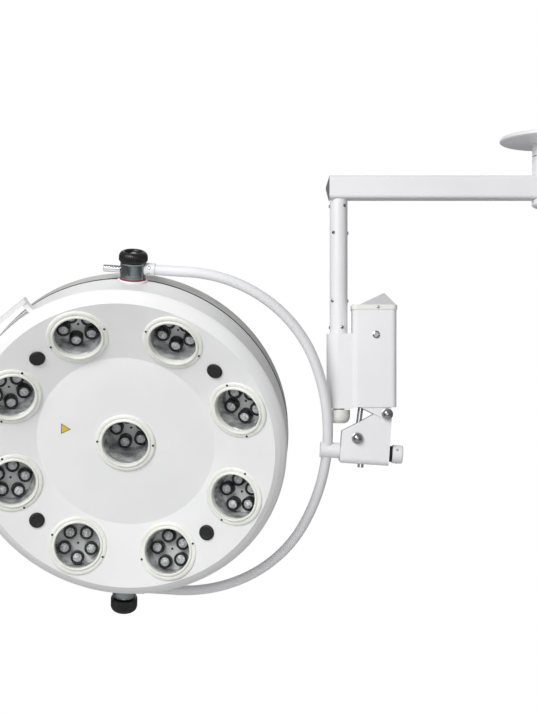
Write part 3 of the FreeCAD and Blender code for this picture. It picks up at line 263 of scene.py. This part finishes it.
def plated(name, colour, rough):
    """Bright plating with faint handling smears and fine polishing lines."""
    finish = Finish(name, colour, rough, metal=1.0)
    finish.vary_rough(finish.noise(45.0, 4.0), rough, rough + 0.09)
    finish.vary_colour(finish.noise(12.0), tone(colour, 0.96), tone(colour, 1.03))
    finish.bump(finish.noise(260.0, 2.0, stretch=(1, 1, 6)), 0.02, 0.0002)
    return finish.material


def machined(name, colour, rough, lines=(1, 1, 30)):
    """Machined metal with fine tool lines and a satin gloss."""
    finish = Finish(name, colour, rough, metal=1.0)
    finish.vary_rough(finish.noise(90.0, 4.0, stretch=lines), rough - 0.06, rough + 0.12)
    finish.vary_colour(finish.noise(30.0), tone(colour, 0.92), tone(colour, 1.05))
    finish.bump(finish.noise(180.0, 3.0, stretch=lines), 0.08, 0.0002)
    return finish.material


def clear(name, colour, alpha, rough):
    """Clear glass, thin enough to see straight through."""
    finish = Finish(name, colour, rough)
    finish.shader.inputs["Alpha"].default_value = alpha
    finish.shader.inputs["IOR"].default_value = 1.5
    finish.shader.inputs["Specular IOR Level"].default_value = 0.8
    finish.vary_rough(finish.noise(20.0), rough, rough + 0.03)
    return finish.material


def spun_mirror(name, colour):
    """A spun mirror bowl: bright, with soft waves, and with darker and lighter streaks in its colour that
    are painted reflection.
    """
    finish = Finish(name, colour, 0.08, metal=0.40)
    waves = finish.noise(22.0, 2.0)
    # Painted reflection: colour streaks stretched along the bowl's axis, from darker to lighter, stand for
    # the streaky reflections in the bowl.
    finish.vary_colour(finish.noise(34.0, 3.0, stretch=(1, 1, 3)), tone(colour, 0.42), tone(colour, 1.1))
    finish.vary_rough(finish.noise(60.0, 3.0), 0.08, 0.20)
    finish.bump(waves, 0.35, 0.008)
    return finish.material


def lens_plastic(name, colour, rough):
    """Opaque but glossy: stands for a clear moulded lens, mottled like the chip behind it."""
    finish = Finish(name, colour, rough)
    finish.shader.inputs["Coat Weight"].default_value = 1.0
    finish.shader.inputs["Coat Roughness"].default_value = 0.04
    finish.shader.inputs["Specular IOR Level"].default_value = 0.9
    finish.vary_colour(finish.noise(240.0, 2.0), tone(colour, 0.62), tone(colour, 1.3))
    finish.vary_rough(finish.noise(90.0), rough, rough + 0.10)
    return finish.material


YELLOW_FILM = moulded_plastic("yellow_film", (0.75, 0.50, 0.05), 0.35, 900.0, 0.03)
WHITE_PAINT = powder_coat("white_paint", (0.84, 0.84, 0.85))
HEAD_WHITE = powder_coat("head_white", (0.86, 0.86, 0.86), 0.38)
HEAD_GREY = powder_coat("head_grey", (0.52, 0.52, 0.50), 0.40)
CREAM_PAINT = powder_coat("cream_paint", (0.84, 0.84, 0.79), 0.36)
# Painted shade: the lid's hip is the same cream sheet as the lid, given a grey colour because it lies in
# shade.
LID_HIP_SHADE = powder_coat("grey_paint", (0.62, 0.62, 0.64), 0.40)
CREAM_PLASTIC = moulded_plastic("cream_plastic", (0.84, 0.85, 0.79), 0.30, 900.0, 0.06)
BLACK_PLASTIC = moulded_plastic("black_plastic", (0.006, 0.006, 0.007), 0.36)
BLACK_RUBBER = moulded_plastic("black_rubber", (0.006, 0.006, 0.007), 0.55, 2200.0, 0.20)
DARK_PLASTIC = moulded_plastic("dark_plastic", (0.16, 0.16, 0.17), 0.45)
RED_NYLON = moulded_plastic("red_nylon", (0.42, 0.03, 0.07), 0.35)
CHROME = plated("chrome_plate", (0.74, 0.75, 0.76), 0.06)
DARK_CHROME = plated("dark_chrome", (0.27, 0.31, 0.30), 0.12)
DULL_CHROME = plated("dull_chrome", (0.36, 0.36, 0.37), 0.14)
MIRROR = spun_mirror("mirror_bowl", (0.86, 0.88, 0.89))
TURNED_STEEL = machined("turned_steel", (0.52, 0.52, 0.54), 0.30)
SPRING_STEEL = machined("spring_steel", (0.20, 0.20, 0.22), 0.42)
BLACK_STEEL = machined("black_steel", (0.05, 0.05, 0.055), 0.40)
BRONZE = machined("bronze", (0.52, 0.36, 0.16), 0.34)
SATIN_ALUMINIUM = machined("satin_aluminium", (0.74, 0.77, 0.77), 0.50, (1, 1, 1))
COVER_GLASS = clear("cover_glass", (0.02, 0.02, 0.02), 0.05, 0.02)
LED_LENS = lens_plastic("led_lens", (0.62, 0.66, 0.67), 0.10)
LED_BOARD = moulded_plastic("led_board", (0.80, 0.83, 0.81), 0.30, 500.0, 0.05)


# --- shape building blocks -----------------------------------------------------------------------------


def finished(name, form, finish, *nodes, body=None, sharp=32.0):
    """Turns a form into a piece that stands for CAD nodes; one given a body of its own is extra detail."""
    mesh = bpy.data.meshes.new(name)
    form.to_mesh(mesh)
    form.free()
    for face in mesh.polygons:
        face.use_smooth = True
    mesh.set_sharp_from_angle(angle=math.radians(sharp))
    piece = bpy.data.objects.new(name, mesh)
    bpy.context.scene.collection.objects.link(piece)
    mesh.materials.append(finish)
    first = frame["nodes"][nodes[0]]
    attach(piece, body or first["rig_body"])
    if body is None:
        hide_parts(*nodes)
    return piece


def lathe(outline, steps=64):
    """A form turned about Z from a line of (radius, height) points in mm; ends on the axis are closed."""
    form = bmesh.new()
    points = [form.verts.new((radius * MM, 0, height * MM)) for radius, height in outline]
    edges = [form.edges.new(pair) for pair in zip(points, points[1:])]
    bmesh.ops.spin(form, geom=points + edges, cent=(0, 0, 0), axis=(0, 0, 1), dvec=(0, 0, 0),
                   angle=math.tau, steps=steps, use_merge=True)
    bmesh.ops.remove_doubles(form, verts=form.verts, dist=1e-6)
    bmesh.ops.recalc_face_normals(form, faces=form.faces)
    return form


def closed(outline):
    """An outline that comes back to its first point, for a ring-shaped form."""
    return list(outline) + [outline[0]]


def placed(form, place):
    """Moves a whole form."""
    bmesh.ops.transform(form, matrix=place, verts=form.verts)
    return form


def copies(form, places):
    """One form with a copy of a pattern at each place; the pattern itself is used up."""
    pattern = bpy.data.meshes.new("pattern")
    form.to_mesh(pattern)
    form.free()
    target = bmesh.new()
    for place in places:
        count = len(target.verts)
        target.from_mesh(pattern)
        target.verts.ensure_lookup_table()
        bmesh.ops.transform(target, matrix=place, verts=target.verts[count:])
    bpy.data.meshes.remove(pattern)
    return target


def joined(*forms):
    """Several forms in one."""
    whole = bmesh.new()
    for form in forms:
        part = bpy.data.meshes.new("part")
        form.to_mesh(part)
        form.free()
        whole.from_mesh(part)
        bpy.data.meshes.remove(part)
    return whole


def paint(finish, *nodes):
    """Gives CAD nodes that keep their shape a material."""
    for node in nodes:
        shown = frame["nodes"][node]
        shown.data.materials.clear()
        shown.data.materials.append(finish)


# --- the CAD nodes that keep their shape ---------------------------------------------------------------

paint(WHITE_PAINT, "ceiling_plate", "arm_hub", "hub_cover", "arm_tube", "drop_tube", "balancer_box",
      "swivel_sleeve", "hinge_bracket", "tilt_block", "tee_collar", "end_collar", "leg_collars")
paint(TURNED_STEEL, "post_spindle", "spindle_nut", "swivel_shaft", "swivel_nut", "hinge_pin", "spring_base",
      "spring_seat", "seat_pin", "rod_pin", "roll_bearing", "roll_shaft", "head_frame")
paint(BRONZE, "hub_bushes", "sleeve_bushes", "roll_bushes")
paint(CHROME, "balance_rod", "friction_screw", "stop_pin")
paint(DULL_CHROME, "drop_tube_screws", "box_screws")
paint(BLACK_STEEL, "lamp_screws")
paint(BLACK_RUBBER, "end_washer")
paint(DARK_PLASTIC, "arm_end_cap")
paint(CREAM_PLASTIC, "swivel_cap")
paint(CREAM_PAINT, "box_lid")
# The lid's hip takes the grey painted shade, not a paint of its own.
paint(LID_HIP_SHADE, "lid_hip")
paint(SATIN_ALUMINIUM, "driver_case")
paint(LED_BOARD, "led_plates")
paint(HEAD_WHITE, "front_shell", "grip_handle")
paint(HEAD_GREY, "rear_shell")
paint(COVER_GLASS, "lamp_glasses")


# --- lamps ---------------------------------------------------------------------------------------------

def lamp_rings():
    """Moulded bezels: a wide flat flange, a shallow groove and a rounded inner lip."""
    ring = lathe(closed([
        (50, -12), (52.6, -12), (52.6, 0.15), (64.6, 0.15), (65, 0.6), (65, 2.3), (64.4, 3.4), (63, 4.2),
        (60.5, 4.8), (57.8, 5.1), (57.2, 4.7), (56.9, 4.1), (56.0, 4.0), (55.6, 4.5), (55.2, 6.3),
        (54.6, 7.1), (53.4, 7.6), (51.8, 7.6), (50.7, 7.2), (50.1, 6.4)]), 96)
    finished("lamp_bezels", copies(ring, ALL_LAMPS), CREAM_PLASTIC, "lamp_rings", sharp=50)


def reflectors():
    """Spun mirror bowls: steep, slightly rounded walls with a rolled front edge."""
    bowls = []
    for depth, places in ((OUTER_DEPTH, ALL_LAMPS[1:]), (CENTRE_DEPTH, ALL_LAMPS[:1])):
        deep = depth / MM
        bowl = lathe(closed([
            (47.6, 0.4 - deep), (48.9, -deep * 0.82), (49.35, -deep * 0.6), (49.5, -deep * 0.35),
            (49.6, -8), (49.9, -6.2), (49.6, -5.6), (49.1, -6), (48.9, -8), (48.6, -deep * 0.35),
            (48.3, -deep * 0.6), (47.6, -deep * 0.82), (46.6, 0.4 - deep)]), 96)
        bowls.append(copies(bowl, places))
    finished("reflector_bowls", joined(*bowls), MIRROR, "lamp_reflectors", sharp=60)


def led_places():
    """The frames of all LEDs: on the plate of each lamp, Z out of the lamp."""
    places = []
    for lamp, lean, deep in zip(ALL_LAMPS, LED_TURNS, [CENTRE_DEPTH] + [OUTER_DEPTH] * LAMP_COUNT):
        for index in range(LED_COUNT):
            places.append(lamp @ turn(lean + index * 360 / LED_COUNT)
                          @ Matrix.Translation((LED_PITCH, 0, -deep)))
    return places


def leds():
    """Black holders with a rounded mouth, the domed lens with its moulded rings, and the chip under it."""
    holder = lathe([
        (15.2, 0.1), (15.2, 15.6), (14.9, 16.8), (14.1, 17.6), (12.4, 17.9), (11.0, 17.6), (10.4, 16.8),
        (10.2, 13.2), (0, 13.2)], 40)
    lens = lathe([
        (10.0, 13.4), (10.0, 15.2), (9.6, 16.0), (8.6, 16.6), (7.6, 16.8), (7.3, 16.2), (6.8, 16.1),
        (5.8, 17.4), (4.4, 18.4), (2.4, 19.0), (0, 19.2)], 40)
    die = lathe([(5.6, 13.3), (5.6, 14.4), (4.8, 14.8), (0, 14.8)], 24)
    places = led_places()
    finished("led_cups", copies(holder, places), BLACK_PLASTIC, "led_holders", sharp=40)
    finished("led_domes", copies(lens, places), LED_LENS, "led_lenses", sharp=40)
    finished("led_dies", copies(die, places), SATIN_ALUMINIUM, "led_plates", body="head", sharp=40)


def plugs():
    """Soft rubber buttons with a rounded rim and a slightly sunken middle."""
    places = []
    for index in range(PLUG_COUNT):
        places.append(on_slope(PLUG_START + index * 360 / PLUG_COUNT, PLUG_PITCH))
    button = lathe([
        (6, -14), (8.2, -10), (8.2, 0.3), (16.6, 0.35), (17, 1), (17, 2.2), (16.4, 3.6), (15, 4.6),
        (13, 5.2), (11.4, 5.0), (10.6, 4.6), (6, 4.9), (0, 5.0)], 64)
    finished("rubber_buttons", copies(button, places), BLACK_RUBBER, "rubber_plugs", sharp=50)


lamp_rings()
reflectors()
leds()
plugs()


# --- knobs, barrels and the pivot ----------------------------------------------------------------------

def knurled(outline, low, high):
    """A turned knob whose grip band between two heights is ribbed all round."""
    steps = KNOB_RIDGES * STEPS_PER_RIDGE
    form = lathe(outline, steps)
    band = [vertex for vertex in form.verts
            if low * MM < vertex.co.z < high * MM and Vector(vertex.co.xy).length > GRIP_INNER * MM]
    for vertex in band:
        way = math.atan2(vertex.co.y, vertex.co.x)
        step = round(way / math.tau * steps) % STEPS_PER_RIDGE
        if step in (0, STEPS_PER_RIDGE - 1):
            vertex.co.xy *= 1 - RIDGE_DEPTH * MM / Vector(vertex.co.xy).length
    return form


def knobs():
    """Black clamping knobs with ribbed sides, a rounded shoulder and a dished top round the bolt."""
    for node, flip, start, height in KNOBS:
        top = start + height
        outline = [
            (9.4, start), (27.6, start), (29, start + 0.8), (29.4, start + 2.4), (30.4, start + 3),
            (30.4, top - 12), (29.8, top - 8.6), (28.6, top - 5.6), (26.4, top - 3), (23.8, top - 1.2),
            (21.4, top - 0.3), (20, top - 0.5), (18.6, top - 1.6), (17.6, top - 4), (16.8, top - 8.6),
            (9.4, top - KNOB_DISH)]
        form = knurled(closed(outline), start + 2.8, top - 8)
        place = HEAD @ turn(flip, "X")
        finished(node + "_ribbed", placed(form, place), BLACK_PLASTIC, node, sharp=40)


def barrels():
    """Chrome pivot barrels with a groove at each end."""
    forms = []
    for flip, high in ((0, UPPER_BARREL_TOP), (180, LOWER_BARREL_TOP)):
        outline = [
            (PIVOT_BORE, BARREL_LOW), (26.2, BARREL_LOW), (BARREL_RADIUS, 355.8), (BARREL_RADIUS, 358.6),
            (26.4, 359.2), (26.4, 360.2), (BARREL_RADIUS, 360.8), (BARREL_RADIUS, high - 5),
            (26.4, high - 4.4), (26.4, high - 3.2), (26.9, high - 2.6), (26.9, high - 1),
            (26, high), (PIVOT_BORE, high)]
        forms.append(placed(lathe(closed(outline), 96), HEAD @ turn(flip, "X")))
    finished("chrome_barrels", joined(*forms), DARK_CHROME, "pivot_barrels", sharp=40)


def knob_bolts():
    """The bolt in each knob's dish: a dull washer, a bright domed head and the shank in the barrel."""
    washers, heads = [], []
    for _, flip, start, height in KNOBS:
        seat = start + height - KNOB_DISH
        place = HEAD @ turn(flip, "X")
        washers.append(placed(lathe([
            (0, start - 22), (6, start - 22), (6, start - 0.8), (9, start - 0.8), (9, seat + 0.2),
            (14.5, seat + 0.4), (14.5, seat + 1.4), (13.6, seat + 2), (0, seat + 2)], 48), place))
        heads.append(placed(lathe([
            (0, seat + 1.8), (6.2, seat + 1.8), (6.2, seat + 3.6), (5.2, seat + 4.6), (2.6, seat + 5.2),
            (0, seat + 5.4)], 32), place))
    finished("knob_washers", joined(*washers), TURNED_STEEL, "knob_bolts", sharp=40)
    finished("knob_bolt_heads", joined(*heads), CHROME, "knob_bolts", body="yoke", sharp=40)


def seats():
    """Under each barrel: a flared white seat, and the thin red nylon washer that runs on it."""
    flares, washers = [], []
    for flip in (0, 180):
        place = HEAD @ turn(flip, "X")
        washers.append(placed(lathe(closed([
            (PIVOT_BORE, HEAD_RIM + 2.9), (28.4, HEAD_RIM + 2.9), (28.6, HEAD_RIM + 3.6),
            (27.6, HEAD_RIM + 4.6), (PIVOT_BORE, HEAD_RIM + 4.6)]), 64), place))
        flares.append(placed(lathe(closed([
            (PIVOT_BORE, HEAD_RIM - 3), (13.5, HEAD_RIM - 3), (13.5, HEAD_RIM), (31.5, HEAD_RIM),
            (30, HEAD_RIM + 0.8), (29, HEAD_RIM + 2), (28.6, HEAD_RIM + 2.8),
            (PIVOT_BORE, HEAD_RIM + 2.8)]), 64), place))
    finished("red_washers", joined(*washers), RED_NYLON, "seat_rings", sharp=40)
    finished("flared_seats", joined(*flares), HEAD_WHITE, "seat_rings", body="head", sharp=40)


def gasket():
    """The black sealing strip between the two shells; it stands a little past the rim, so its dark line is
    partly a real gasket and partly painted shade in the seam.
    """
    # Painted shade in part: the strip reaches past the rim to draw the seam's shadow as a black line.
    strip = lathe(closed([
        (340, -9.8), (349.2, -9.8), (349.4, -10.9), (350.5, -10.4), (350.5, -4.4), (349.8, -4.9),
        (349.2, -5.2), (340, -5.2)]), 160)
    finished("seam_gasket_and_shade", placed(strip, FACE), BLACK_RUBBER, "rim_gasket", sharp=40)


def warning_mark():
    """A plain yellow triangle with a dark border stuck on the middle disc; it carries no sign."""
    for name, radius, low, high, finish in (("mark_border", 14, 0.02, 0.25, BLACK_PLASTIC),
                                            ("mark_face", 11.5, 0.25, 0.45, YELLOW_FILM)):
        form = bmesh.new()
        bmesh.ops.create_cone(form, cap_ends=True, segments=3, radius1=radius * MM, radius2=radius * MM,
                              depth=(high - low) * MM)
        on_disc = Matrix.Translation((0, 0, DISC_FRONT))
        place = FACE @ move(MARK_X, MARK_Y, (high + low) / 2) @ on_disc @ turn(-90)
        finished(name, placed(form, place), finish, "front_shell", body="head", sharp=30)


def yoke_run():
    """The bent yoke tube in one run: a straight leg, a tight corner, the wide bend and the same again."""
    lean = math.asin((YOKE_HALF - CORNER_ARC) / (WIDE_ARC - CORNER_ARC))
    corner_x = (WIDE_ARC - CORNER_ARC) * math.cos(lean) - WIDE_ARC
    corner_z = (WIDE_ARC - CORNER_ARC) * math.sin(lean)
    leg_x = BARREL_RADIUS + LEG_GAP - YOKE_REACH
    form = bmesh.new()
    bmesh.ops.create_circle(form, segments=40, radius=YOKE_TUBE_RADIUS * MM)
    placed(form, move(leg_x, 0, YOKE_HALF) @ turn(90, "Y"))
    ring = form.verts[:] + form.edges[:]

    def reach(ring, length):
        edges = [item for item in ring if isinstance(item, bmesh.types.BMEdge)]
        grown = bmesh.ops.extrude_edge_only(form, edges=edges)["geom"]
        verts = [item for item in grown if isinstance(item, bmesh.types.BMVert)]
        bmesh.ops.translate(form, verts=verts, vec=(length * MM, 0, 0))
        return verts + [item for item in grown if isinstance(item, bmesh.types.BMEdge)
                        and all(vertex in verts for vertex in item.verts)]

    def bend(ring, x, z, angle, steps):
        return bmesh.ops.spin(form, geom=ring, cent=Vector((x, 0, z)) * MM, axis=(0, 1, 0), dvec=(0, 0, 0),
                              angle=angle, steps=steps)["geom_last"]

    ring = reach(ring, corner_x - leg_x)
    ring = bend(ring, corner_x, corner_z, math.pi / 2 - lean, 32)
    ring = bend(ring, -WIDE_ARC, 0, 2 * lean, 24)
    ring = bend(ring, corner_x, -corner_z, math.pi / 2 - lean, 32)
    reach(ring, leg_x - corner_x)
    bmesh.ops.remove_doubles(form, verts=form.verts, dist=1e-6)
    bmesh.ops.holes_fill(form, edges=form.edges, sides=0)
    bmesh.ops.recalc_face_normals(form, faces=form.faces)
    finished("yoke_run", placed(form, YOKE @ move(0, 0, YOKE_LIFT)), WHITE_PAINT, "yoke_tube", sharp=50)


def dome_nuts():
    """Smooth domed nuts with a thin flange, on both ends of the hinge pin and of the rod pin."""
    for node, pin, half in (("hinge_nuts", HINGE, HINGE_NUT_FACE), ("rod_pin_nuts", ROD_PIN, ROD_NUT_FACE)):
        dome = lathe([
            (0, 6.2), (6.05, 6.2), (6.05, 0.2), (12.4, 0.2), (12.6, 0.8), (12.4, 1.6), (11.6, 2.0),
            (11.7, 4.2), (10.9, 7.2), (9.2, 9.8), (6.6, 11.9), (3.4, 13.0), (0, 13.3)], 48)
        places = [pin @ turn(side) @ move(0, -half, 0) @ turn(90, "X") for side in (0, 180)]
        finished(node + "_domed", copies(dome, places), DULL_CHROME, node, sharp=35)


def spring():
    """The coiled balance spring, standing below the seat along the slide's axis."""
    steps = SPRING_TURNS * STEPS_PER_TURN
    climb = (SPRING_LENGTH - 2 * WIRE_RADIUS) * MM / steps
    form = bmesh.new()
    bmesh.ops.create_circle(form, segments=14, radius=WIRE_RADIUS * MM)
    placed(form, move(SPRING_RADIUS, 0, 0) @ turn(90, "X"))
    bmesh.ops.spin(form, geom=form.verts[:] + form.edges[:], cent=(0, 0, 0), axis=(0, 0, 1),
                   dvec=(0, 0, climb), angle=math.tau * SPRING_TURNS, steps=steps)
    bmesh.ops.remove_doubles(form, verts=form.verts, dist=1e-6)
    bmesh.ops.holes_fill(form, edges=form.edges, sides=0)
    bmesh.ops.recalc_face_normals(form, faces=form.faces)
    slide = joint_axis("spring_slide")
    lean = frame_of(joint_place("rod_swing"), Vector((0, -1, 0)).cross(slide).normalized(), slide)
    foot = lean @ move(0, 0, -SEAT_LOW - SPRING_LENGTH - SPRING_GAP)
    standing = placed(form, foot @ move(0, 0, WIRE_RADIUS))
    coil = finished("spring_coil", standing, SPRING_STEEL, "balance_spring", sharp=50)
    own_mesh(coil)


def collar_screws():
    """Small bright pan heads on the leg collars and black socket screws round the end collar."""
    pan = lathe([
        (0, -3), (2.2, -3), (2.2, 0), (3.4, 0), (3.4, 0.9), (2.9, 1.4), (2.0, 1.6), (1.1, 1.2),
        (0, 1.1)], 24)
    spots = []
    for side in (1, -1):
        leg = YOKE @ move(-YOKE_REACH + LEG_SCREW_X, 0, side * YOKE_HALF + YOKE_LIFT)
        for lean in (-LEG_SCREW_LEAN, LEG_SCREW_LEAN):
            spots.append(leg @ turn(lean, "X") @ move(0, 0.2 - LEG_COLLAR_RADIUS, 0) @ turn(90, "X"))
    finished("leg_screws", copies(pan, spots), CHROME, "collar_screws", sharp=40)
    grub = lathe([(0, -5), (2.8, -5), (2.8, -0.4), (2.4, 0), (1.5, 0), (1.4, -2.6), (0, -2.6)], 24)
    spots = []
    collar = YOKE @ move(TUBE_X + END_SCREW_X, 0, 0)
    for lean in END_SCREW_TURNS:
        spots.append(collar @ turn(lean, "X") @ move(0, -END_SCREW_REACH, 0) @ turn(90, "X"))
    finished("end_collar_screws", copies(grub, spots), BLACK_STEEL, "collar_screws", body="yoke", sharp=40)


knobs()
barrels()
knob_bolts()
seats()
gasket()
yoke_run()
dome_nuts()
spring()
warning_mark()
collar_screws()


# --- stage, light and camera ---------------------------------------------------------------------------

FLOOR_RADIUS = 3.4
FLOOR_CENTRE = (-0.6, 0, -2.35)
CAMERA_PLACE = (-0.617, -3.050, -0.608)
LENS_LENGTH = 93.1
LENS_SHIFT = 0.108
ROOM_STRENGTH = 0.62
# Each light's name, place, what it looks at, the side of its square in metres, and its power in watts.
LIGHTS = (("key", (-2.2, -2.8, 1.3), (-0.8, 0, -0.6), 1.8, 96),
          ("front", (-0.9, -3.6, -0.5), (-0.8, 0, -0.6), 2.4, 22),
          ("back", (-0.8, 2.4, 0.9), (-0.7, 0, -0.5), 2.0, 9))


def stage():
    """A plain pale floor below the hanging light."""
    form = bmesh.new()
    bmesh.ops.create_circle(form, cap_ends=True, segments=96, radius=FLOOR_RADIUS)
    bmesh.ops.translate(form, vec=FLOOR_CENTRE, verts=form.verts)
    mesh = bpy.data.meshes.new("floor")
    form.to_mesh(mesh)
    form.free()
    floor = bpy.data.objects.new("floor", mesh)
    bpy.context.scene.collection.objects.link(floor)
    pale = Finish("pale_floor", (0.78, 0.78, 0.78), 0.7)
    pale.vary_colour(pale.noise(3.0), (0.77, 0.77, 0.77), (0.79, 0.79, 0.79))
    mesh.materials.append(pale.material)


def softbox(name, place, target, size, power):
    """A square area light that looks at a target."""
    lamp = bpy.data.lights.new(name, "AREA")
    lamp.shape = "SQUARE"
    lamp.size = size
    lamp.energy = power
    item = bpy.data.objects.new(name, lamp)
    bpy.context.scene.collection.objects.link(item)
    item.location = place
    item.rotation_euler = (Vector(target) - Vector(place)).to_track_quat("-Z", "Y").to_euler()


def surroundings():
    """A grey room that lights the object, brighter above than below, and shows as plain white."""
    world = bpy.data.worlds.new("white_room")
    bpy.context.scene.world = world
    world.use_nodes = True
    nodes, links = world.node_tree.nodes, world.node_tree.links
    sky = nodes["Background"]
    place = nodes.new("ShaderNodeTexCoord")
    height = nodes.new("ShaderNodeSeparateXYZ")
    ramp = nodes.new("ShaderNodeValToRGB")
    ramp.color_ramp.elements[0].position = 0.18
    ramp.color_ramp.elements[0].color = (0.22, 0.22, 0.225, 1)
    ramp.color_ramp.elements[1].position = 0.75
    ramp.color_ramp.elements[1].color = (0.52, 0.52, 0.53, 1)
    half = nodes.new("ShaderNodeMapRange")
    half.inputs["From Min"].default_value = -1.0
    links.new(place.outputs["Generated"], height.inputs["Vector"])
    links.new(height.outputs["Z"], half.inputs["Value"])
    links.new(half.outputs["Result"], ramp.inputs["Fac"])
    links.new(ramp.outputs["Color"], sky.inputs["Color"])
    sky.inputs["Strength"].default_value = ROOM_STRENGTH
    white = nodes.new("ShaderNodeBackground")
    white.inputs["Color"].default_value = (1, 1, 1, 1)
    white.inputs["Strength"].default_value = 1.0
    seen = nodes.new("ShaderNodeLightPath")
    mix = nodes.new("ShaderNodeMixShader")
    links.new(seen.outputs["Is Camera Ray"], mix.inputs["Fac"])
    links.new(sky.outputs["Background"], mix.inputs[1])
    links.new(white.outputs["Background"], mix.inputs[2])
    links.new(mix.outputs["Shader"], nodes["World Output"].inputs["Surface"])


def camera():
    """A level camera in front of the light, its horizon a little below the middle of the frame."""
    lens = bpy.data.cameras.new("camera")
    lens.sensor_fit = "HORIZONTAL"
    lens.sensor_width = 36
    lens.lens = LENS_LENGTH
    lens.shift_y = LENS_SHIFT
    item = bpy.data.objects.new("camera", lens)
    bpy.context.scene.collection.objects.link(item)
    item.location = CAMERA_PLACE
    item.rotation_euler = (math.radians(90), 0, 0)
    bpy.context.scene.camera = item


stage()
surroundings()
for light in LIGHTS:
    softbox(*light)
camera()
bpy.context.scene.view_settings.view_transform = "Standard"
